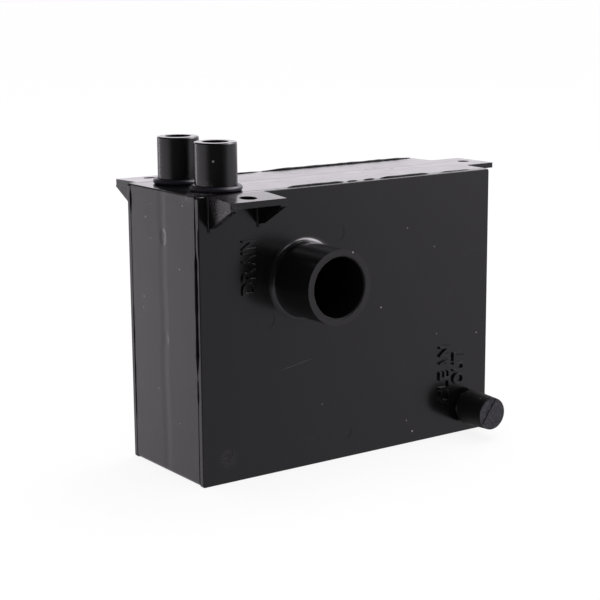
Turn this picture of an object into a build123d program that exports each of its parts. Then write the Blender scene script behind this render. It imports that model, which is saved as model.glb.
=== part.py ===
from build123d import *
import os

os.makedirs("parts", exist_ok=True)

# Condensate trap: three welded mouldings, two rubber rings and a rubber cap.
# X runs along the case, Y from the front face to the back, Z up.
# The origin is the centre of the bottom face. All sizes are in millimetres.

# Case
case_length = 130.4
case_depth = 48.2
case_height = 102.0
frame_lower_corner = 1.6
frame_top_corner = 0.5
panel_lower_corner = 0.8
panel_top_corner = 1.0
wall = 2.4
panel_thickness = 2.0
web_thickness = 2.2
seam_width = 0.5
seam_depth = 0.45
edge_round = 0.35

# Water passages inside the case
inlet_leg_width = 23.2
baffle_thickness = 2.4
low_passage_height = 24.0
riser_width = 24.0
window_rise = 0.9
window_corner = 3.0
chamber_corner = 1.6

# Inlet tubes and their rings, two on the top wall
tube_from_left = 14.7
tube_spread = 24.9
tube_diameter = 15.0
tube_wall = 2.85
tube_height = 16.9
tube_edge = 0.5
ring_section = 2.0
ring_bite = 0.3
ring_ease = 0.05
ring_side_play = 0.15

# Drain stub on the front face
drain_from_left = 43.5
drain_below_top = 32.7
drain_diameter = 26.7
drain_wall = 2.6
drain_length = 21.2
drain_root = 2.0
drain_edge = 0.4

# Clean-out stub on the front face, and its cap
cleanout_from_right = 10.3
cleanout_centre_height = 10.2
stub_diameter = 9.4
stub_wall = 1.5
stub_length = 13.3
stub_root = 0.6
stub_lead = 0.5
cap_fit = 0.1
cap_stand_off = 2.4
cap_end_play = 0.4
cap_end_thickness = 2.1
cap_mouth_wall = 2.0
cap_end_wall = 1.35
cap_edge = 0.5
cap_lip = 0.4
cap_ledge_offset = 2.0
cap_ledge_depth = 0.4
cap_ledge_angle = 143.0

# Shallow rounds on the front face, left by the mould's ejector pins: distance from the left, height
ejector_diameter = 5.6
ejector_depth = 0.12
ejector_places = ((9.5, 11.2), (27.9, 56.4), (58.5, 84.2), (61.6, 9.7))

# Screw ears. Each cover's ear hangs a little: its drop is measured at the tip
panel_ear_thickness = 2.2
panel_ear_from_left = 4.0
panel_ear_width = 22.5
front_ear_reach = 14.2
front_ear_drop = 0.9
front_hole_reach = 8.4
front_hole_diameter = 6.1
back_ear_reach = 15.6
back_ear_drop = 0.4
back_hole_reach = 9.6
back_hole_diameter = 4.5
gusset_thickness = 2.5
gusset_height = 12.3
gusset_nose = 0.6
gusset_toe_height = 1.2
gusset_toe_depth = 0.8
gusset_root = 0.6
end_ear_thickness = 2.0
end_ear_width = 20.6
end_ear_reach = 14.4
end_hole_reach = 8.0
end_hole_diameter = 4.5
end_ear_root = 2.4
ear_tip_corner = 0.3
ear_flare = 1.5

# Places worked out from the sizes above
half_length = case_length / 2
half_depth = case_depth / 2
core_half = half_depth - panel_thickness
inside_length = case_length - 2 * wall
inside_height = case_height - 2 * wall
inside_left = -inside_length / 2
inside_right = inside_length / 2
inside_top = case_height - wall
middle_height = case_height / 2
chamber_depth = core_half - web_thickness / 2
tube_x = tube_from_left - half_length
tube_radius = tube_diameter / 2
tube_bore_radius = tube_radius - tube_wall
tube_sides = (-tube_spread / 2, tube_spread / 2)
ring_root_radius = tube_radius - ring_bite
ring_centre_radius = ring_root_radius + ring_ease + ring_section / 2
ring_groove_height = ring_section + ring_side_play
drain_x = drain_from_left - half_length
drain_centre_height = case_height - drain_below_top
drain_bore = drain_diameter - 2 * drain_wall
cleanout_x = half_length - cleanout_from_right
stub_bore = stub_diameter - 2 * stub_wall
cap_bore_radius = stub_diameter / 2 + cap_fit
cap_mouth_radius = cap_bore_radius + cap_mouth_wall
cap_end_radius = cap_bore_radius + cap_end_wall
cap_mouth = -half_depth - cap_stand_off
cap_inner_end = -half_depth - stub_length - cap_end_play
cap_outer_end = cap_inner_end - cap_end_thickness
shelf_underside = wall + low_passage_height
shelf_right = inside_right - riser_width
drop_left = inside_left + inlet_leg_width
window_bottom = drain_centre_height - drain_bore / 2 + window_rise
ear_left = panel_ear_from_left - half_length
ear_right = ear_left + panel_ear_width
ear_middle = (ear_left + ear_right) / 2
ear_underside = case_height - panel_ear_thickness
gusset_bottom = case_height - gusset_height
end_ear_underside = case_height - end_ear_thickness
end_ear_foot = end_ear_width + 4 * end_ear_root

# How near a corner or an edge lies to the face it is picked by
near = 0.01

front_face = Plane.XZ.offset(half_depth)
front_rim = Plane.XZ.offset(core_half)
back_rim = Plane.XZ.offset(-core_half)


def case_outline(lower_corner, top_corner, inset=0.0):
    """The outline of the case: the frame's lower corners are rounder than the covers'."""
    with BuildSketch(mode=Mode.PRIVATE) as outline:
        with Locations((0, middle_height)):
            Rectangle(case_length - 2 * inset, case_height - 2 * inset)
        fillet(outline.vertices().group_by(Axis.Y)[0], lower_corner)
        fillet(outline.vertices().group_by(Axis.Y)[-1], top_corner)
    return outline.sketch


def chamber_outline():
    """One chamber's water space: the inside of the walls, less the drop wall and the shelf."""
    drop_height = inside_top - shelf_underside
    shelf_length = shelf_right - drop_left
    with BuildSketch(mode=Mode.PRIVATE) as chamber:
        with Locations((0, middle_height)):
            RectangleRounded(inside_length, inside_height, chamber_corner)
        with Locations((drop_left, shelf_underside)):
            Rectangle(baffle_thickness, drop_height, align=(Align.MIN, Align.MIN), mode=Mode.SUBTRACT)
            Rectangle(shelf_length, baffle_thickness, align=(Align.MIN, Align.MIN), mode=Mode.SUBTRACT)
    return chamber.sketch


# The frame: outer walls, web, drop walls and shelves, with the tubes and the end ear on it
with BuildPart() as trap_body:
    with BuildSketch(Plane.XZ):
        add(case_outline(frame_lower_corner, frame_top_corner))
    extrude(amount=core_half, both=True)

    # The front chamber, and the back one that mirrors it
    for rim, inward in ((front_rim, -1), (back_rim, 1)):
        with BuildSketch(rim):
            add(chamber_outline())
        extrude(amount=inward * chamber_depth, mode=Mode.SUBTRACT)

    # The window behind the drain lets the back chamber run out through the front one
    with BuildSketch(Plane.XZ):
        with Locations((drain_x, window_bottom)):
            Rectangle(drain_bore, drain_bore - window_rise, align=(Align.CENTER, Align.MIN))
        fillet(vertices(), window_corner)
    extrude(amount=web_thickness, both=True, mode=Mode.SUBTRACT)

    # The end ear, level with the top, flared where it leaves the wall
    with BuildSketch(Plane.XY.offset(end_ear_underside)) as end_ear:
        with Locations((half_length, 0)):
            Rectangle(end_ear_reach, end_ear_width, align=(Align.MIN, Align.CENTER))
        fillet(end_ear.vertices().group_by(Axis.X)[-1], ear_tip_corner)
        with Locations((half_length, 0)):
            Rectangle(wall, end_ear_foot, align=(Align.MAX, Align.CENTER))
        inner_corners = end_ear.vertices().filter_by_position(Axis.X, half_length - near, half_length + near)
        fillet(inner_corners.filter_by_position(Axis.Y, -end_ear_width / 2, end_ear_width / 2), end_ear_root)
        with Locations((half_length + end_hole_reach, 0)):
            Circle(end_hole_diameter / 2, mode=Mode.SUBTRACT)
    extrude(amount=end_ear_thickness)

    # A shallow step round both rims leaves the groove of the weld
    for rim, inward in ((front_rim, -1), (back_rim, 1)):
        with BuildSketch(rim):
            add(case_outline(frame_lower_corner, frame_top_corner, inset=-seam_width))
            add(case_outline(frame_lower_corner, frame_top_corner, inset=seam_depth), mode=Mode.SUBTRACT)
        extrude(amount=inward * seam_width, mode=Mode.SUBTRACT)

    # The inlet tubes, each with a groove at its foot for a ring
    with BuildSketch(Plane.XY.offset(case_height)):
        with Locations(*[(tube_x, side) for side in tube_sides]):
            Circle(tube_radius)
    extrude(amount=tube_height)
    tube_rims = trap_body.faces().sort_by(Axis.Z)[-2:].edges()
    fillet(tube_rims, tube_edge)
    with BuildSketch(Plane.XY.offset(case_height)):
        with Locations(*[(tube_x, side) for side in tube_sides]):
            Circle(tube_radius)
            Circle(ring_root_radius, mode=Mode.SUBTRACT)
    extrude(amount=ring_groove_height, mode=Mode.SUBTRACT)
    with BuildSketch(Plane.XY.offset(inside_top)):
        with Locations(*[(tube_x, side) for side in tube_sides]):
            Circle(tube_bore_radius)
    extrude(amount=wall + tube_height, mode=Mode.SUBTRACT)

trap_body.part.label = "trap_body"
export_step(trap_body.part, "parts/trap_body.step")


def ear_profile(reach, drop):
    """The side view of a cover's ear: level inside the cover, then falling to its tip."""
    ear_tip = -half_depth - reach
    with BuildSketch(mode=Mode.PRIVATE) as profile:
        with BuildLine():
            Polyline(
                (-core_half, case_height),
                (-half_depth, case_height),
                (ear_tip, case_height - drop),
                (ear_tip, ear_underside - drop),
                (-half_depth, ear_underside),
                (-core_half, ear_underside),
                close=True,
            )
        make_face()
    return profile.sketch


def gusset_profile(reach, drop):
    """The side view of a gusset: a nose under the ear's tip, a slope, and a toe on the wall."""
    ear_tip = -half_depth - reach
    tip_underside = ear_underside - drop
    toe_front = -half_depth - gusset_toe_depth
    with BuildSketch(mode=Mode.PRIVATE) as profile:
        with BuildLine():
            Polyline(
                (-half_depth, ear_underside),
                (ear_tip, tip_underside),
                (ear_tip, tip_underside - gusset_nose),
                (toe_front, gusset_bottom + gusset_toe_height),
                (toe_front, gusset_bottom),
                (-half_depth, gusset_bottom),
                close=True,
            )
        make_face()
    return profile.sketch


def panel_ear(reach, drop, hole_reach, hole_diameter):
    """The screw ear of a cover, which starts inside the cover."""
    with BuildPart(mode=Mode.PRIVATE) as ear:
        with BuildSketch(Plane.XY.offset(ear_underside - drop)) as plan:
            with Locations((ear_middle, -half_depth)):
                Rectangle(panel_ear_width, reach, align=(Align.CENTER, Align.MAX))
            fillet(plan.vertices().group_by(Axis.Y)[0], ear_tip_corner)
            with Locations((ear_middle, -half_depth)):
                Rectangle(panel_ear_width + 2 * ear_flare, panel_thickness, align=(Align.CENTER, Align.MIN))
            inner_corners = plan.vertices().filter_by_position(Axis.Y, -half_depth - near, -half_depth + near)
            fillet(inner_corners.filter_by_position(Axis.X, ear_left, ear_right), gusset_root)
            with Locations((tube_x, -half_depth - hole_reach)):
                Circle(hole_diameter / 2, mode=Mode.SUBTRACT)
        extrude(amount=drop + panel_ear_thickness)
        with BuildSketch(Plane.YZ.offset(ear_middle)):
            add(ear_profile(reach, drop))
        extrude(amount=panel_ear_width, both=True, mode=Mode.INTERSECT)
    return ear.part


def panel_blank(ear_reach, ear_drop, hole_reach, hole_diameter):
    """A flat cover with its screw ear and two gussets, as it stands at the front."""
    with BuildPart(mode=Mode.PRIVATE) as panel:
        with BuildSketch(front_rim):
            add(case_outline(panel_lower_corner, panel_top_corner))
        extrude(amount=panel_thickness)
        outer_rim = panel.faces().sort_by(Axis.Y)[0].edges()
        fillet(outer_rim, edge_round)

        # The gussets, with their side edges rounded into the wall
        for inner_side in (ear_left + gusset_thickness, ear_right):
            with BuildSketch(Plane.YZ.offset(inner_side)):
                add(gusset_profile(ear_reach, ear_drop))
            extrude(amount=-gusset_thickness)
        gusset_roots = (
            panel.edges()
            .filter_by(Axis.Z)
            .filter_by_position(Axis.Y, -half_depth - near, -half_depth + near)
            .filter_by_position(Axis.Z, gusset_bottom, ear_underside)
        )
        fillet(gusset_roots, gusset_root)
        add(panel_ear(ear_reach, ear_drop, hole_reach, hole_diameter))
    return panel.part


def stub(centre_x, centre_height, diameter, length, root_round, tip_round):
    """A round stub that stands out of the front cover, flared at its root, before it is bored."""
    side = centre_x + diameter / 2
    foot = side + 2 * root_round
    with BuildPart(mode=Mode.PRIVATE) as turned:
        with BuildSketch(Plane.XY.offset(centre_height)) as half_section:
            with BuildLine():
                Polyline(
                    (centre_x, -core_half),
                    (foot, -core_half),
                    (foot, -half_depth),
                    (side, -half_depth),
                    (side, -half_depth - length),
                    (centre_x, -half_depth - length),
                    close=True,
                )
            make_face()
            root_corner = half_section.vertices().sort_by_distance((side, -half_depth))[0]
            tip_corner = half_section.vertices().sort_by_distance((side, -half_depth - length))[0]
            fillet(root_corner, root_round)
            fillet(tip_corner, tip_round)
        revolve(axis=Axis((centre_x, 0, centre_height), (0, 1, 0)))
    return turned.part


# The front cover, with the drain stub and the clean-out stub
with BuildPart() as front_panel:
    add(panel_blank(front_ear_reach, front_ear_drop, front_hole_reach, front_hole_diameter))
    add(stub(drain_x, drain_centre_height, drain_diameter, drain_length, drain_root, drain_edge))
    add(stub(cleanout_x, cleanout_centre_height, stub_diameter, stub_length, stub_root, stub_lead))

    with BuildSketch(front_rim):
        with Locations((drain_x, drain_centre_height)):
            Circle(drain_bore / 2)
    extrude(amount=panel_thickness + drain_length, mode=Mode.SUBTRACT)
    bore_edge = front_panel.faces().filter_by(Axis.Y).sort_by(Axis.Y)[0].edges().sort_by(SortBy.RADIUS)[0]
    fillet(bore_edge, drain_edge)

    with BuildSketch(front_rim):
        with Locations((cleanout_x, cleanout_centre_height)):
            Circle(stub_bore / 2)
    extrude(amount=panel_thickness + stub_length, mode=Mode.SUBTRACT)

    with BuildSketch(front_face):
        with Locations(*[(from_left - half_length, height) for from_left, height in ejector_places]):
            Circle(ejector_diameter / 2)
    extrude(amount=-ejector_depth, mode=Mode.SUBTRACT)

front_panel.part.label = "front_panel"
export_step(front_panel.part, "parts/front_panel.step")

# The back cover is plain, and mirrors the front one
with BuildPart() as back_panel:
    mirror(panel_blank(back_ear_reach, back_ear_drop, back_hole_reach, back_hole_diameter), about=Plane.XZ)

back_panel.part.label = "back_panel"
export_step(back_panel.part, "parts/back_panel.step")


def seal_ring(side):
    """A round-section ring in the groove of one inlet tube."""
    with BuildPart(mode=Mode.PRIVATE) as ring:
        with BuildSketch(Plane.XZ.offset(-side)):
            with Locations((tube_x + ring_centre_radius, case_height + ring_section / 2)):
                Circle(ring_section / 2)
        revolve(axis=Axis((tube_x, side, 0), (0, 0, 1)))
    return ring.part


# The rubber rings round the feet of the inlet tubes
with BuildPart() as inlet_seal_front:
    add(seal_ring(tube_sides[0]))

inlet_seal_front.part.label = "inlet_seal_front"
export_step(inlet_seal_front.part, "parts/inlet_seal_front.step")

with BuildPart() as inlet_seal_back:
    add(seal_ring(tube_sides[1]))

inlet_seal_back.part.label = "inlet_seal_back"
export_step(inlet_seal_back.part, "parts/inlet_seal_back.step")

# The rubber cap, pushed on the clean-out stub: a tapered cup with a shallow ledge on its end
with BuildPart() as cleanout_cap:
    with BuildSketch(Plane.XY.offset(cleanout_centre_height)):
        with BuildLine():
            Polyline(
                (cleanout_x, cap_outer_end),
                (cleanout_x + cap_end_radius, cap_outer_end),
                (cleanout_x + cap_mouth_radius, cap_mouth),
                (cleanout_x + cap_bore_radius, cap_mouth),
                (cleanout_x + cap_bore_radius, cap_inner_end),
                (cleanout_x, cap_inner_end),
                close=True,
            )
        make_face()
    revolve(axis=Axis((cleanout_x, 0, cleanout_centre_height), (0, 1, 0)))
    end_rim = cleanout_cap.faces().sort_by(Axis.Y)[0].edges()
    fillet(end_rim, cap_edge)
    mouth_rim = cleanout_cap.edges().group_by(Axis.Y)[-1].sort_by(SortBy.RADIUS)[-1]
    fillet(mouth_rim, cap_lip)
    with BuildSketch(Plane.XZ.offset(-cap_outer_end)):
        with Locations((cleanout_x, cleanout_centre_height)):
            with PolarLocations(cap_ledge_offset, 1, start_angle=cap_ledge_angle):
                Rectangle(cap_end_radius, 2 * cap_end_radius, align=(Align.MIN, Align.CENTER))
    extrude(amount=-cap_ledge_depth, mode=Mode.SUBTRACT)

cleanout_cap.part.label = "cleanout_cap"
export_step(cleanout_cap.part, "parts/cleanout_cap.step")
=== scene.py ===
import math
import random

import bmesh
import bpy
from mathutils import Matrix, Vector


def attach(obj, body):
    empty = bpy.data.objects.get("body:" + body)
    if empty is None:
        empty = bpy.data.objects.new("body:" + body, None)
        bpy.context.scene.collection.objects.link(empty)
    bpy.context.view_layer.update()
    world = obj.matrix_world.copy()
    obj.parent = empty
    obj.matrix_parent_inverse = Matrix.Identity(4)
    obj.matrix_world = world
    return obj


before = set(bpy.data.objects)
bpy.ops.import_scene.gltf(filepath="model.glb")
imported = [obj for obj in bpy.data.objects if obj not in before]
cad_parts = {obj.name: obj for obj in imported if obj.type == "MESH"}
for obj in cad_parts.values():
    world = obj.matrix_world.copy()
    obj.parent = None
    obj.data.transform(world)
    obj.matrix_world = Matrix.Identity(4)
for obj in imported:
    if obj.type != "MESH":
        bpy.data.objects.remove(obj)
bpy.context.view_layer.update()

# The frame moulding: one injection-moulded piece of glossy black plastic with the four narrow
# walls, the web, the inlet tubes and the end ear. The web has drawn the walls in a little as they
# cooled, and the surface has picked up dust and fine scuffs.

MM = 0.001
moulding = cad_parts["trap_body"]
left_face = -65.2
top_face = 102.0


def new_group(name, inputs, outputs):
    """An empty node group with its named sockets. Returns the tree, its inputs and its outputs."""
    tree = bpy.data.node_groups.new(name, "ShaderNodeTree")
    for socket_name, kind, value in inputs:
        socket = tree.interface.new_socket(name=socket_name, in_out="INPUT", socket_type=kind)
        if value is not None:
            socket.default_value = value
    for socket_name, kind in outputs:
        tree.interface.new_socket(name=socket_name, in_out="OUTPUT", socket_type=kind)
    return tree, tree.nodes.new("NodeGroupInput"), tree.nodes.new("NodeGroupOutput")


def math_node(tree, operation, first, second=None, clamp=False):
    """A Math node whose inputs are sockets or plain numbers. Returns its output socket."""
    node = tree.nodes.new("ShaderNodeMath")
    node.operation = operation
    node.use_clamp = clamp
    for slot, value in enumerate((first, second)):
        if isinstance(value, bpy.types.NodeSocket):
            tree.links.new(value, node.inputs[slot])
        elif value is not None:
            node.inputs[slot].default_value = value
    return node.outputs[0]


def split(tree, vector):
    """A vector's X, Y and Z."""
    node = tree.nodes.new("ShaderNodeSeparateXYZ")
    tree.links.new(vector, node.inputs[0])
    return node.outputs


def stretched(tree, vector, scale):
    """The vector with each of its axes scaled."""
    node = tree.nodes.new("ShaderNodeMapping")
    node.inputs["Scale"].default_value = scale
    tree.links.new(vector, node.inputs["Vector"])
    return node.outputs["Vector"]


def distance_to(tree, vector, x, y, z):
    """How far a point lies from a place, which is given in mm."""
    node = tree.nodes.new("ShaderNodeVectorMath")
    node.operation = "DISTANCE"
    node.inputs[1].default_value = (x * MM, y * MM, z * MM)
    tree.links.new(vector, node.inputs[0])
    return node.outputs["Value"]


def noise(tree, vector, scale, detail, roughness=0.5):
    """A noise texture's value."""
    node = tree.nodes.new("ShaderNodeTexNoise")
    node.inputs["Scale"].default_value = scale
    node.inputs["Detail"].default_value = detail
    node.inputs["Roughness"].default_value = roughness
    tree.links.new(vector, node.inputs["Vector"])
    return node.outputs["Fac"]


def ramp(tree, value, low, high, to_low=0.0, to_high=1.0):
    """The value carried smoothly from one range to another."""
    node = tree.nodes.new("ShaderNodeMapRange")
    node.interpolation_type = "SMOOTHSTEP"
    node.inputs["From Min"].default_value = low
    node.inputs["From Max"].default_value = high
    node.inputs["To Min"].default_value = to_low
    node.inputs["To Max"].default_value = to_high
    tree.links.new(value, node.inputs["Value"])
    return node.outputs["Result"]


def mixed_colour(tree, mask, first, second):
    """The first colour where the mask is 0, and the second where it is 1."""
    node = tree.nodes.new("ShaderNodeMix")
    node.data_type = "RGBA"
    node.inputs["A"].default_value = first
    node.inputs["B"].default_value = second
    tree.links.new(mask, node.inputs["Factor"])
    return node.outputs["Result"]


def dust_group():
    """Sparse pale specks: one small dot in a few of the cells of a Voronoi pattern."""
    soft_edge = 0.03
    tree, inputs, outputs = new_group(
        "dust_specks",
        [("Position", "NodeSocketVector", None), ("Cells per metre", "NodeSocketFloat", 200.0),
         ("Share", "NodeSocketFloat", 0.1), ("Size", "NodeSocketFloat", 0.08)],
        [("Mask", "NodeSocketFloat")],
    )
    cells = tree.nodes.new("ShaderNodeTexVoronoi")
    tree.links.new(inputs.outputs["Position"], cells.inputs["Vector"])
    tree.links.new(inputs.outputs["Cells per metre"], cells.inputs["Scale"])
    colour = tree.nodes.new("ShaderNodeSeparateColor")
    tree.links.new(cells.outputs["Color"], colour.inputs["Color"])
    chosen = math_node(tree, "LESS_THAN", colour.outputs["Red"], inputs.outputs["Share"])
    own_size = math_node(tree, "MULTIPLY", colour.outputs["Green"], inputs.outputs["Size"])
    inside = math_node(tree, "SUBTRACT", own_size, cells.outputs["Distance"])
    soft = math_node(tree, "DIVIDE", inside, soft_edge, clamp=True)
    strength = math_node(tree, "MULTIPLY", soft, colour.outputs["Blue"])
    tree.links.new(math_node(tree, "MULTIPLY", strength, chosen), outputs.inputs["Mask"])
    return tree


def scuff_group():
    """Hair-thin scuffs: the edges of large warped cells, kept only in a few places."""
    warp_scale = 30.0
    warp_reach = 0.02
    patch_scale = 70.0
    patch_starts, patch_is_full = 0.58, 0.68
    tree, inputs, outputs = new_group(
        "fine_scuffs",
        [("Position", "NodeSocketVector", None), ("Cells per metre", "NodeSocketFloat", 40.0),
         ("Width", "NodeSocketFloat", 0.004)],
        [("Mask", "NodeSocketFloat")],
    )
    position = inputs.outputs["Position"]
    warp = tree.nodes.new("ShaderNodeTexNoise")
    warp.inputs["Scale"].default_value = warp_scale
    tree.links.new(position, warp.inputs["Vector"])
    bend = tree.nodes.new("ShaderNodeVectorMath")
    bend.operation = "MULTIPLY_ADD"
    bend.inputs[1].default_value = (warp_reach, warp_reach, warp_reach)
    tree.links.new(warp.outputs["Color"], bend.inputs[0])
    tree.links.new(position, bend.inputs[2])
    cells = tree.nodes.new("ShaderNodeTexVoronoi")
    cells.feature = "DISTANCE_TO_EDGE"
    tree.links.new(bend.outputs[0], cells.inputs["Vector"])
    tree.links.new(inputs.outputs["Cells per metre"], cells.inputs["Scale"])
    line = math_node(tree, "LESS_THAN", cells.outputs["Distance"], inputs.outputs["Width"])
    patches = ramp(tree, noise(tree, position, patch_scale, 1.0), patch_starts, patch_is_full)
    tree.links.new(math_node(tree, "MULTIPLY", line, patches), outputs.inputs["Mask"])
    return tree


def skin_group():
    """The moulded skin: broad unevenness of the walls, a fine grain, and uneven polish."""
    wander_scale = 55.0
    wander_stretch = (1.0, 1.0, 0.35)
    grain_scale = 1400.0
    polish_scale = 90.0
    polish_spread = 0.10
    tree, inputs, outputs = new_group(
        "moulded_skin",
        [("Position", "NodeSocketVector", None), ("Polish", "NodeSocketFloat", 0.2)],
        [("Roughness", "NodeSocketFloat"), ("Unevenness", "NodeSocketFloat"),
         ("Grain", "NodeSocketFloat")],
    )
    position = inputs.outputs["Position"]
    broad = noise(tree, stretched(tree, position, wander_stretch), wander_scale, 2.0)
    grain = noise(tree, position, grain_scale, 3.0, 0.6)
    patchy = math_node(tree, "MULTIPLY", noise(tree, position, polish_scale, 4.0, 0.6), polish_spread)
    either_way = math_node(tree, "SUBTRACT", patchy, polish_spread / 2)
    rough = math_node(tree, "ADD", inputs.outputs["Polish"], either_way)
    tree.links.new(rough, outputs.inputs["Roughness"])
    tree.links.new(broad, outputs.inputs["Unevenness"])
    tree.links.new(grain, outputs.inputs["Grain"])
    return tree


DUST = dust_group()
SCUFFS = scuff_group()
SKIN = skin_group()


def place_group(tree, group, position, **values):
    """A shared effect in a material, with its own values. Returns its output sockets."""
    node = tree.nodes.new("ShaderNodeGroup")
    node.node_tree = group
    tree.links.new(position, node.inputs["Position"])
    for name, value in values.items():
        node.inputs[name.replace("_", " ")].default_value = value
    return node.outputs


def placed_specks(tree, position, places):
    """A mask with a soft dot at each place. places holds x, y, z, radius and strength, in mm."""
    total = None
    for x, y, z, radius, strength in places:
        full_within = 0.5 * radius * MM
        gone_beyond = 1.2 * radius * MM
        gap = distance_to(tree, position, x, y, z)
        dot = ramp(tree, gap, full_within, gone_beyond, strength, 0.0)
        total = dot if total is None else math_node(tree, "MAXIMUM", total, dot)
    return total


def powdery(tree, position, places):
    """The same soft dots, broken up into fine powder."""
    powder_scale = 2200.0
    powder_starts, powder_is_full = 0.45, 0.75
    grains = ramp(tree, noise(tree, position, powder_scale, 2.0, 0.6), powder_starts, powder_is_full)
    return math_node(tree, "MULTIPLY", placed_specks(tree, position, places), grains)


def black_plastic(name, polish=0.2, extra_height=None, extra_marks=None, dull=None, dust_share=0.12):
    """Glossy black moulded plastic. extra_height adds a piece's own dips, in metres, extra_marks its
    own dust, and dull the roughness of its dull places. Each takes the tree and the position."""
    black = (0.0036, 0.0035, 0.0037, 1.0)
    powder = (0.36, 0.34, 0.35, 1.0)
    dust_cells = 150.0
    dust_size = 0.09
    scuff_paleness = 0.07
    mark_paleness = 0.45
    mark_roughness = 0.4
    wall_wander = 0.04 * MM
    grain_height = 0.0006 * MM

    material = bpy.data.materials.new(name)
    material.use_nodes = True
    tree = material.node_tree
    shader = tree.nodes["Principled BSDF"]
    shader.inputs["IOR"].default_value = 1.5
    position = tree.nodes.new("ShaderNodeTexCoord").outputs["Object"]
    skin = place_group(tree, SKIN, position, Polish=polish)
    dust = place_group(tree, DUST, position,
                       Cells_per_metre=dust_cells, Share=dust_share, Size=dust_size)
    scuffs = place_group(tree, SCUFFS, position)

    faint_scuffs = math_node(tree, "MULTIPLY", scuffs["Mask"], scuff_paleness)
    marks = math_node(tree, "ADD", dust["Mask"], faint_scuffs)
    marks = math_node(tree, "MULTIPLY", marks, mark_paleness)
    if extra_marks:
        marks = math_node(tree, "MAXIMUM", marks, extra_marks(tree, position))
    tree.links.new(mixed_colour(tree, marks, black, powder), shader.inputs["Base Color"])

    marked = math_node(tree, "MULTIPLY", marks, mark_roughness)
    rough = math_node(tree, "ADD", skin["Roughness"], marked, clamp=True)
    if dull:
        rough = math_node(tree, "MAXIMUM", rough, dull(tree, position))
    tree.links.new(rough, shader.inputs["Roughness"])

    uneven = math_node(tree, "MULTIPLY", skin["Unevenness"], wall_wander)
    height = math_node(tree, "ADD", uneven, math_node(tree, "MULTIPLY", skin["Grain"], grain_height))
    if extra_height:
        height = math_node(tree, "ADD", height, extra_height(tree, position))
    bump = tree.nodes.new("ShaderNodeBump")
    bump.inputs["Distance"].default_value = 1.0
    tree.links.new(height, bump.inputs["Height"])
    tree.links.new(bump.outputs["Normal"], shader.inputs["Normal"])
    return material


def dress(piece, material):
    """Give a piece from the CAD model its one material."""
    piece.data.materials.clear()
    piece.data.materials.append(material)


def web_sink(tree, position):
    """The shallow dip over the web, which runs down the middle of the narrow walls."""
    half_width = 3.5 * MM
    depth = 0.055 * MM
    wander_scale = 45.0
    wander_reach = 4.0 * MM
    spot_depth = 0.12 * MM
    spots = [(-0.4, 86.6, 1.9, 1.0), (-0.3, 85.4, 1.9, 1.0),
             (-0.5, 84.4, 1.7, 0.9), (-0.8, 49.0, 2.2, 0.35)]
    wander = noise(tree, stretched(tree, position, (1.0, 0.0, 1.0)), wander_scale, 2.0)
    offset = math_node(tree, "MULTIPLY", math_node(tree, "SUBTRACT", wander, 0.5), wander_reach)
    across = math_node(tree, "ABSOLUTE", math_node(tree, "ADD", split(tree, position)["Y"], offset))
    sink = ramp(tree, across, 0.0, half_width, -depth, 0.0)
    deepest = placed_specks(tree, position, [(left_face, *spot) for spot in spots])
    return math_node(tree, "ADD", sink, math_node(tree, "MULTIPLY", deepest, -spot_depth))


def frame_dust(tree, position):
    """The dust that has settled on the left wall, the top and the front tube."""
    on_left = [(11.4, 91.3, 0.35, 0.9), (7.6, 96.4, 0.25, 0.5), (-11.2, 75.6, 0.4, 0.7),
               (14.0, 62.2, 0.3, 1.0), (14.6, 57.9, 0.35, 0.4), (8.0, 84.0, 0.4, 0.3),
               (-14.0, 98.0, 0.4, 0.5), (5.0, 30.0, 0.35, 0.5), (-9.0, 20.0, 0.3, 0.5)]
    on_top = [(26.5, 2.3, 0.8, 0.6), (31.9, 4.2, 0.9, 0.7), (32.3, -0.3, 0.6, 0.5),
              (19.6, -4.2, 0.7, 0.5), (15.3, -12.3, 0.6, 0.5), (36.0, -1.2, 0.8, 0.7)]
    places = [(left_face, y, z, radius, strength) for y, z, radius, strength in on_left]
    places += [(x, y, top_face, radius, strength) for x, y, radius, strength in on_top]
    places += [(-55.2, -18.3, 112.8, 0.45, 0.45)]
    near_ear = powdery(tree, position, [(-60.0, -17.0, 101.0, 6.0, 0.5)])
    return math_node(tree, "MAXIMUM", placed_specks(tree, position, places), near_ear)


dress(moulding, black_plastic("frame_plastic", extra_height=web_sink, extra_marks=frame_dust))

# The front cover: a flat moulded plate welded over the front chamber, with the drain stub, the
# clean-out stub and a screw ear on two gussets. It is of the same plastic as the frame.

front_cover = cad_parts["front_panel"]
cover_face = -24.1
drain_end = -45.3
drain_x, drain_z = -21.7, 69.3


def long_scratch(tree, axes):
    """One fine scratch across the lower left of the cover, which fades out at both ends."""
    slope = 0.168
    height_at_middle = 0.04274
    half_width = 0.03 * MM
    faded_at = 0.13 * MM
    strength = 0.16
    along = math_node(tree, "MULTIPLY_ADD", axes["X"], slope)
    along.node.inputs[2].default_value = height_at_middle
    off_line = math_node(tree, "ABSOLUTE", math_node(tree, "SUBTRACT", axes["Z"], along))
    line = ramp(tree, off_line, half_width, faded_at, strength, 0.0)
    left_end = ramp(tree, axes["X"], -0.035, -0.028)
    right_end = ramp(tree, axes["X"], -0.022, -0.017, 1.0, 0.0)
    return math_node(tree, "MULTIPLY", line, math_node(tree, "MULTIPLY", left_end, right_end))


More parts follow.
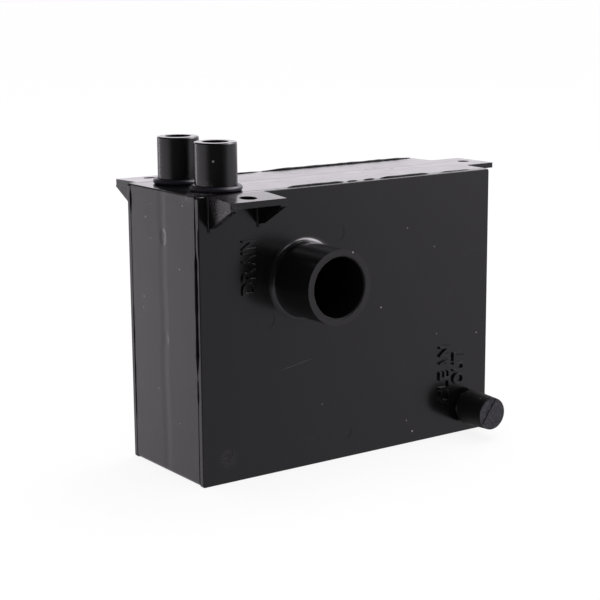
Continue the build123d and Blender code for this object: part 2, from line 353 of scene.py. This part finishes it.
def cover_dust(tree, position):
    """Dust on the cover, powder on the ear and low in the corner, one long fine scratch, and an evenly
    paler end face on the drain.
    """
    on_face = [(13.0, 54.5, 0.35, 0.9), (28.3, 4.4, 0.4, 1.0), (25.3, 82.9, 0.3, 0.6),
               (25.4, 9.1, 0.3, 0.8), (39.9, 40.9, 0.3, 0.5), (60.0, 38.6, 0.35, 0.7),
               (38.4, 74.6, 0.3, 0.5), (-14.0, 22.0, 0.3, 0.4)]
    places = [(x, cover_face, z, radius, strength) for x, z, radius, strength in on_face]
    places += [(-16.1, drain_end, 81.1, 0.35, 1.0)]
    powder = powdery(tree, position, [
        (-58.5, -29.5, 101.5, 6.0, 0.22),
        (-54.5, cover_face, 9.0, 4.0, 0.12),
        (-61.0, -33.0, 97.5, 6.5, 0.35),
    ])
    # The drain's end face is made evenly a little paler
    end_paleness = 0.018
    axes = split(tree, position)
    full_to = drain_end * MM + 0.00002
    gone_from = drain_end * MM + 0.0001
    end_ring = ramp(tree, axes["Y"], full_to, gone_from, end_paleness, 0.0)
    dust = math_node(tree, "MAXIMUM", placed_specks(tree, position, places), powder)
    dust = math_node(tree, "MAXIMUM", dust, end_ring)
    return math_node(tree, "MAXIMUM", dust, long_scratch(tree, axes))


def drain_lip(tree, position):
    """The edge of the drain's bore, which the mould's core has left dull."""
    lip_radius = 11.25 * MM
    lip_roughness = 0.85
    dull_to = drain_end * MM + 0.0007
    glossy_from = drain_end * MM + 0.0011
    from_axis = distance_to(tree, stretched(tree, position, (1.0, 0.0, 1.0)), drain_x, 0.0, drain_z)
    inside = ramp(tree, from_axis, lip_radius, lip_radius + 0.0002, 1.0, 0.0)
    at_mouth = ramp(tree, split(tree, position)["Y"], dull_to, glossy_from, 1.0, 0.0)
    return math_node(tree, "MULTIPLY", math_node(tree, "MULTIPLY", inside, at_mouth), lip_roughness)


dress(front_cover, black_plastic("front_cover_plastic", extra_marks=cover_dust, dull=drain_lip))

# The port words: plain letters beside the two ports, of the front cover's own plastic. The mould
# raises them with the cover, and they read from bottom to top.


def mesh_of(name, curve):
    """The mesh of a curve, by way of an object that goes again."""
    source = bpy.data.objects.new(name, curve)
    bpy.context.scene.collection.objects.link(source)
    bpy.context.view_layer.update()
    mesh = bpy.data.meshes.new_from_object(source.evaluated_get(bpy.context.evaluated_depsgraph_get()))
    bpy.data.objects.remove(source)
    return mesh


def port_word(name, left, right, height, boldness, edge_width, letters):
    """A word raised on the front cover, in mm. left to right is its letters' height, and letters
    holds each letter with its bottom and top along the word."""
    root = 0.1
    shape = bmesh.new()
    for letter, bottom, top in letters:
        curve = bpy.data.curves.new(name, "FONT")
        curve.body = letter
        curve.extrude = 0.5
        curve.offset = boldness
        curve.resolution_u = 4
        mesh = mesh_of(name, curve)
        corners = [v.co for v in mesh.vertices]
        low = Vector([min(c[i] for c in corners) for i in range(3)])
        high = Vector([max(c[i] for c in corners) for i in range(3)])
        for vertex in mesh.vertices:
            along, up, out = [(vertex.co[i] - low[i]) / (high[i] - low[i]) for i in range(3)]
            vertex.co = Vector((
                (right + (left - right) * up) * MM,
                (cover_face + root - (height + root) * out) * MM,
                (bottom + (top - bottom) * along) * MM,
            ))
        shape.from_mesh(mesh)
        bpy.data.meshes.remove(mesh)
    bmesh.ops.remove_doubles(shape, verts=shape.verts, dist=1e-6)
    bmesh.ops.recalc_face_normals(shape, faces=shape.faces)
    word_mesh = bpy.data.meshes.new(name)
    shape.to_mesh(word_mesh)
    shape.free()
    word_mesh.materials.append(letter_plastic)
    piece = bpy.data.objects.new(name, word_mesh)
    bpy.context.scene.collection.objects.link(piece)
    edge = piece.modifiers.new("soft edges", "BEVEL")
    edge.width = edge_width * MM
    edge.segments = 2
    edge.limit_method = "ANGLE"
    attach(piece, "trap")


letter_plastic = black_plastic("letter_plastic", dust_share=0.0)
port_word("word_drain", -48.1, -42.65, height=0.8, boldness=0.022, edge_width=0.04, letters=[
    ("D", 66.3, 70.75), ("R", 71.1, 75.35), ("A", 76.1, 80.0), ("I", 80.6, 81.5), ("N", 82.05, 85.5),
])
port_word("word_clean", 41.05, 46.4, height=0.95, boldness=0.028, edge_width=0.07, letters=[
    ("C", 13.1, 17.9), ("L", 18.4, 21.6), ("E", 22.2, 25.65), ("A", 27.0, 30.7), ("N", 31.4, 35.55),
])
port_word("word_out", 47.9, 53.6, height=0.95, boldness=0.028, edge_width=0.07, letters=[
    ("O", 19.4, 24.1), ("U", 24.9, 28.3), ("T", 28.8, 32.3),
])

# The weld flash: fine threads of plastic squeezed out of the joints between the frame and the two
# covers when they were welded on. They come and go along the edges.


def weld_flash(name, seed, stretches):
    """One thread for each stretch, which is a start, an end and a half thickness, in mm."""
    spacing = 2.2
    thinnest = 0.05
    wander_reach = 0.05
    taper_steepness = 9
    draw = random.Random(seed)
    curve = bpy.data.curves.new(name, "CURVE")
    curve.dimensions = "3D"
    curve.bevel_depth = 1.0
    curve.bevel_resolution = 2
    curve.resolution_u = 2
    curve.use_fill_caps = True
    for start, end, thick in stretches:
        start, end = Vector(start), Vector(end)
        count = max(6, int((end - start).length / spacing))
        thread = curve.splines.new("NURBS")
        thread.points.add(count - 1)
        thread.use_endpoint_u = True
        thread.order_u = 3
        for number, point in enumerate(thread.points):
            share = number / (count - 1)
            taper = min(1.0, taper_steepness * share, taper_steepness * (1 - share))
            wander = Vector([draw.uniform(-wander_reach, wander_reach) for _ in range(3)])
            point.co = (*((start.lerp(end, share) + wander) * MM), 1.0)
            point.radius = (thinnest + thick * taper * draw.uniform(0.75, 1.1)) * MM
    mesh = mesh_of(name, curve)
    mesh.materials.append(flash_plastic)
    mesh.shade_smooth()
    piece = bpy.data.objects.new(name, mesh)
    bpy.context.scene.collection.objects.link(piece)
    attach(piece, "trap")


flash_plastic = black_plastic("flash_plastic", polish=0.3, dust_share=0.0)
flash_plastic.node_tree.nodes["Principled BSDF"].inputs["Specular IOR Level"].default_value = 0.1
front_seam = -21.85
back_seam = 21.85
weld_flash("front_weld_flash", 4, [
    ((-27.0, front_seam, 102.1), (-2.5, front_seam, 102.1), 0.38),
    ((-1.0, front_seam, 102.0), (4.0, front_seam, 102.0), 0.3),
    ((6.0, front_seam, 102.0), (12.0, front_seam, 102.0), 0.28),
    ((14.0, front_seam, 102.1), (37.0, front_seam, 102.1), 0.4),
    ((42.0, front_seam, 102.0), (58.0, front_seam, 102.0), 0.18),
    ((-65.2, front_seam, 100.5), (-65.2, front_seam, 80.5), 0.25),
    ((-65.1, -23.8, 92.0), (-65.1, -23.8, 80.0), 0.3),
    ((-65.3, -22.0, 84.0), (-65.3, -21.9, 40.0), 0.5),
    ((-65.25, -21.9, 39.0), (-65.25, -21.9, 29.0), 0.25),
    ((65.2, front_seam, 98.0), (65.2, front_seam, 30.0), 0.2),
    ((-60.0, front_seam, 0.25), (20.0, front_seam, 0.25), 0.15),
])
weld_flash("back_weld_flash", 7, [
    ((-36.0, back_seam, 102.0), (-10.0, back_seam, 102.0), 0.4),
    ((-8.5, back_seam, 102.1), (64.0, back_seam, 102.1), 0.5),
    ((-65.2, back_seam, 101.0), (-65.2, back_seam, 90.5), 0.35),
    ((-65.2, back_seam, 60.0), (-65.2, back_seam, 12.0), 0.2),
    ((65.2, back_seam, 97.0), (65.2, back_seam, 8.0), 0.25),
])

# The back cover: a moulded plate of the same plastic, welded over the back chamber. It has an ear on
# two gussets like the front one's, and no ports.

back_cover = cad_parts["back_panel"]
dress(back_cover, black_plastic("back_cover_plastic"))

# The seal rings: round rubber rings seated at the feet of the inlet tubes, smooth and a little
# greasy, so that they are paler than the plastic along the top.

seal_black = (0.012, 0.011, 0.018, 1.0)
seal_roughest, seal_smoothest = 0.42, 0.32
seal_material = bpy.data.materials.new("seal_ring_rubber")
seal_material.use_nodes = True
seal_tree = seal_material.node_tree
seal_shader = seal_tree.nodes["Principled BSDF"]
seal_position = seal_tree.nodes.new("ShaderNodeTexCoord").outputs["Object"]
seal_patches = noise(seal_tree, seal_position, 300.0, 3.0)
seal_rough = ramp(seal_tree, seal_patches, 0.3, 0.7, seal_smoothest, seal_roughest)
seal_shader.inputs["Base Color"].default_value = seal_black
seal_tree.links.new(seal_rough, seal_shader.inputs["Roughness"])
for ring_name in ("inlet_seal_front", "inlet_seal_back"):
    dress(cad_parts[ring_name], seal_material)

# The clean-out cap: a soft black rubber cup pushed over the clean-out stub. It is matt, and
# powder from the mould sits in the grain of its end.

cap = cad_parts["cleanout_cap"]
cap_black = (0.005, 0.005, 0.005, 1.0)
# The pale grey is the colour of the powder and dust, and also of the painted highlight on the rim
cap_powder_and_highlight_grey = (0.12, 0.12, 0.135, 1.0)
cap_smoothest, cap_roughest = 0.55, 0.7
cap_material = bpy.data.materials.new("cap_rubber")
cap_material.use_nodes = True
cap_tree = cap_material.node_tree
cap_shader = cap_tree.nodes["Principled BSDF"]
cap_shader.inputs["Specular IOR Level"].default_value = 0.16
cap_coordinates = cap_tree.nodes.new("ShaderNodeTexCoord").outputs
cap_position = cap_coordinates["Object"]
cap_facing = split(cap_tree, cap_coordinates["Normal"])

# Powder on the end, and a painted highlight on the left side of its rounded rim
end_face = ramp(cap_tree, cap_facing["Y"], -0.7, -0.35, 1.0, 0.0)
least_powder, most_powder = 0.2, 0.55
powder_patches = noise(cap_tree, cap_position, 1100.0, 4.0, 0.6)
cap_powder = ramp(cap_tree, powder_patches, 0.35, 0.68, least_powder, most_powder)
rim = ramp(cap_tree, cap_facing["Y"], -0.995, -0.9)
# The rounded rim is painted paler where it faces left: a painted highlight
painted_rim_highlight = math_node(cap_tree, "MULTIPLY", rim, ramp(cap_tree, cap_facing["X"], -0.05, -0.3))
end_powder_and_highlight = math_node(cap_tree, "MAXIMUM", cap_powder, painted_rim_highlight)
end_powder_and_highlight = math_node(cap_tree, "MULTIPLY", end_face, end_powder_and_highlight)
cap_dust = placed_specks(cap_tree, cap_position, [
    (52.1, -35.9, 16.2, 0.45, 1.0),
    (51.9, -33.8, 16.2, 0.3, 0.6),
])
cap_dust_and_highlight = math_node(cap_tree, "MAXIMUM", end_powder_and_highlight, cap_dust)
# The cap's colour: black, with the powder, the dust and the painted rim highlight mixed in
cap_colour = mixed_colour(cap_tree, cap_dust_and_highlight, cap_black, cap_powder_and_highlight_grey)
cap_tree.links.new(cap_colour, cap_shader.inputs["Base Color"])

cap_patches = noise(cap_tree, cap_position, 500.0, 4.0)
cap_rough = ramp(cap_tree, cap_patches, 0.3, 0.7, cap_smoothest, cap_roughest)
cap_tree.links.new(cap_rough, cap_shader.inputs["Roughness"])
cap_bump = cap_tree.nodes.new("ShaderNodeBump")
cap_bump.inputs["Distance"].default_value = 0.01 * MM
cap_tree.links.new(noise(cap_tree, cap_position, 2500.0, 2.0), cap_bump.inputs["Height"])
cap_tree.links.new(cap_bump.outputs["Normal"], cap_shader.inputs["Normal"])
dress(cap, cap_material)

# The studio: a plain pale sweep that the case stands on, bright behind and to the sides and
# dark towards the viewer, as glossy plastic shows it. One soft lamp lights the case from above.


def around(tree, azimuth, levels):
    """Brightness round the horizon. levels holds pairs of degrees and brightness, -180 to 180."""
    highest = max(level for degrees, level in levels)
    node = tree.nodes.new("ShaderNodeValToRGB")
    stops = node.color_ramp.elements
    while len(stops) < len(levels):
        stops.new(0.5)
    for stop, (degrees, level) in zip(stops, levels):
        stop.position = (degrees + 180) / 360
        stop.color = (level / highest, level / highest, level / highest, 1.0)
    tree.links.new(azimuth, node.inputs["Fac"])
    return math_node(tree, "MULTIPLY", node.outputs["Color"], highest)


def blended(tree, mask, first, second):
    """The first value where the mask is 0, and the second where it is 1."""
    node = tree.nodes.new("ShaderNodeMix")
    for socket_name, value in (("Factor", mask), ("A", first), ("B", second)):
        tree.links.new(value, node.inputs[socket_name])
    return node.outputs["Result"]


def surroundings_group():
    """How bright the surroundings are in each direction, as a mirror in the case shows them. Height
    is the sine of the elevation, and azimuth goes round from 0 to 1, with 0.5 in front."""
    tree, inputs, outputs = new_group(
        "surroundings", [("Position", "NodeSocketVector", None)], [("Brightness", "NodeSocketFloat")]
    )
    axes = split(tree, inputs.outputs["Position"])
    height = axes["Z"]
    turned = math_node(tree, "ARCTAN2", axes["X"], math_node(tree, "MULTIPLY", axes["Y"], -1.0))
    azimuth = math_node(tree, "ADD", math_node(tree, "DIVIDE", turned, 2 * math.pi), 0.5)

    # The far end of the table, which goes dark towards the viewer, and the walls above it
    table = around(tree, azimuth, (
        (-180, 0.5), (-163, 0.8), (-161, 4.5), (-159, 4.5), (-157, 0.9), (-120, 0.98), (-93, 0.88),
        (-81, 0.55), (-71, 0.2), (-60, 0.06), (0, 0.04), (17, 0.2), (29, 0.48), (41, 0.68), (60, 0.8),
        (80, 0.7), (100, 0.35), (150, 0.3), (165, 0.45),
    ))
    walls = around(tree, azimuth, (
        (-180, 0.6), (-165, 0.15), (-145, 0.03), (8, 0.04), (19, 0.15), (25, 0.3), (30, 0.5), (36, 0.9),
        (42, 1.15), (55, 0.85), (80, 0.85), (110, 1.2), (130, 1.47), (165, 1.47), (180, 0.7),
    ))
    walls = math_node(tree, "MULTIPLY", walls, ramp(tree, height, 0.32, 0.5, 1.0, 0.3))
    lower_on_right = ramp(tree, azimuth, 0.5, 0.55, 0.0, 0.1)
    raised = ramp(tree, math_node(tree, "ADD", height, lower_on_right), -0.08, 0.08)
    far_room = blended(tree, raised, table, walls)

    # The paper close round the case
    near_paper = ramp(tree, azimuth, 0.3, 0.55, 0.75, 0.52)
    room = blended(tree, ramp(tree, height, -0.22, -0.38), far_room, near_paper)

    # A broad lamp high on the right, and a narrow one beside it
    lamp_sides = around(tree, azimuth, (
        (-180, 0.0), (3, 0.0), (6, 4.0), (12, 4.0), (16, 0.0),
        (26, 0.0), (37, 10.0), (90, 10.0), (108, 0.0),
    ))
    lamp_foot = ramp(tree, height, 0.33, 0.46)
    lamp_top = ramp(tree, height, 0.66, 0.78, 1.0, 0.0)
    lamp = math_node(tree, "MULTIPLY", lamp_sides, math_node(tree, "MULTIPLY", lamp_foot, lamp_top))
    tree.links.new(math_node(tree, "ADD", room, lamp), outputs.inputs["Brightness"])
    return tree


SURROUNDINGS = surroundings_group()


def seen_directly(tree):
    """1 where the ray comes straight from the camera."""
    return tree.nodes["Light Path"].outputs["Is Camera Ray"]


def mirrored(tree):
    """1 where the ray comes by way of a mirror or through glass."""
    path = tree.nodes["Light Path"]
    return math_node(tree, "MAXIMUM", path.outputs["Is Glossy Ray"], path.outputs["Is Transmission Ray"])


def mixed_shader(tree, mask, first, second):
    """The first shader where the mask is 0, and the second where it is 1."""
    node = tree.nodes.new("ShaderNodeMixShader")
    for slot, socket in enumerate((mask, first, second)):
        tree.links.new(socket, node.inputs[slot])
    return node.outputs[0]


floor_radius = 12.0
floor_below_case = 0.05 * MM
floor_shape = bmesh.new()
bmesh.ops.create_circle(floor_shape, cap_ends=True, segments=96, radius=floor_radius)
bmesh.ops.translate(floor_shape, verts=floor_shape.verts, vec=(0, 0, -floor_below_case))
floor_mesh = bpy.data.meshes.new("floor")
floor_shape.to_mesh(floor_mesh)
floor_shape.free()
floor = bpy.data.objects.new("floor", floor_mesh)
bpy.context.scene.collection.objects.link(floor)

# White paper to the camera, with the case's shadow on it. Mirrors see the surroundings instead
paper_white = (0.86, 0.86, 0.86, 1.0)
seen_white = 1.08
share_seen_white = 0.8
paper = bpy.data.materials.new("paper")
paper.use_nodes = True
paper_tree = paper.node_tree
paper_tree.nodes.clear()
paper_tree.nodes.new("ShaderNodeLightPath").name = "Light Path"
lit = paper_tree.nodes.new("ShaderNodeBsdfDiffuse")
lit.inputs["Color"].default_value = paper_white
white = paper_tree.nodes.new("ShaderNodeEmission")
white.inputs["Color"].default_value = (1.0, 1.0, 1.0, 1.0)
white.inputs["Strength"].default_value = seen_white
clear = paper_tree.nodes.new("ShaderNodeBsdfTransparent")
whitened = math_node(paper_tree, "MULTIPLY", seen_directly(paper_tree), share_seen_white)
plain_paper = mixed_shader(paper_tree, whitened, lit.outputs[0], white.outputs[0])
paper_surface = mixed_shader(paper_tree, mirrored(paper_tree), plain_paper, clear.outputs[0])
paper_out = paper_tree.nodes.new("ShaderNodeOutputMaterial")
paper_tree.links.new(paper_surface, paper_out.inputs["Surface"])
floor_mesh.materials.append(paper)

# The world is white to the camera and a little less to the light, and mirrors see the surroundings
sky_tint = (0.985, 0.94, 1.0, 1.0)
sky_level = 0.8
world = bpy.data.worlds.new("studio")
bpy.context.scene.world = world
world.use_nodes = True
world_tree = world.node_tree
world_tree.nodes.clear()
world_tree.nodes.new("ShaderNodeLightPath").name = "Light Path"
world_position = world_tree.nodes.new("ShaderNodeTexCoord").outputs["Generated"]
world_glow = place_group(world_tree, SURROUNDINGS, world_position)
raised_when_seen = math_node(world_tree, "MULTIPLY", seen_directly(world_tree), 1.0 - sky_level)
plain_sky = math_node(world_tree, "ADD", raised_when_seen, sky_level)
sky_strength = blended(world_tree, mirrored(world_tree), plain_sky, world_glow["Brightness"])
sky = world_tree.nodes.new("ShaderNodeBackground")
sky.inputs["Color"].default_value = sky_tint
world_tree.links.new(sky_strength, sky.inputs["Strength"])
world_out = world_tree.nodes.new("ShaderNodeOutputWorld")
world_tree.links.new(sky.outputs[0], world_out.inputs["Surface"])


def direction(azimuth, elevation):
    """Which way an azimuth and an elevation point. Azimuth 0 is the front, and goes up to the right."""
    return Vector((
        math.sin(azimuth) * math.cos(elevation),
        -math.cos(azimuth) * math.cos(elevation),
        math.sin(elevation),
    ))


softbox_side = 0.6
softbox_distance = 1.2
softbox_radiance = 3.0
softbox_aim = Vector((0, 0, 0.05))
softbox = bpy.data.lights.new("overhead_softbox", "AREA")
softbox.shape = "RECTANGLE"
softbox.size = softbox_side
softbox.size_y = softbox_side
softbox.energy = softbox_radiance * math.pi * softbox_side * softbox_side
softbox_holder = bpy.data.objects.new("overhead_softbox", softbox)
softbox_direction = direction(math.radians(110), math.radians(62))
softbox_holder.location = softbox_aim + softbox_direction * softbox_distance
softbox_holder.rotation_mode = "QUATERNION"
softbox_holder.rotation_quaternion = softbox_direction.to_track_quat("Z", "Y")
bpy.context.scene.collection.objects.link(softbox_holder)

# The camera: a long lens a little above the case, turned towards its front left corner. Its
# angles, its distance and the point that it aims at were fitted to the case's edges in the
# photograph.

view_azimuth = math.radians(-35.258)
view_elevation = math.radians(11.633)
view_roll = math.radians(-0.401)
view_distance = 590.37 * MM
aim_right = 5.356 * MM
aim_up = -3.837 * MM
case_middle = Vector((0, 0, 51 * MM))

camera = bpy.data.objects.new("camera", bpy.data.cameras.new("camera"))
camera.data.lens = 94.0
camera.data.sensor_width = 36.0
camera.data.clip_start = 0.01
camera.data.clip_end = 50.0
back = direction(view_azimuth, view_elevation)
level_right = (-back).cross(Vector((0, 0, 1))).normalized()
level_up = level_right.cross(-back)
right = level_right * math.cos(view_roll) + level_up * math.sin(view_roll)
up = level_up * math.cos(view_roll) - level_right * math.sin(view_roll)
turn = Matrix((right, up, back)).transposed()
place = case_middle + back * view_distance - right * aim_right - up * aim_up
camera.matrix_world = Matrix.Translation(place) @ turn.to_4x4()
bpy.context.scene.collection.objects.link(camera)
bpy.context.scene.camera = camera

bpy.context.scene.view_settings.view_transform = "Standard"
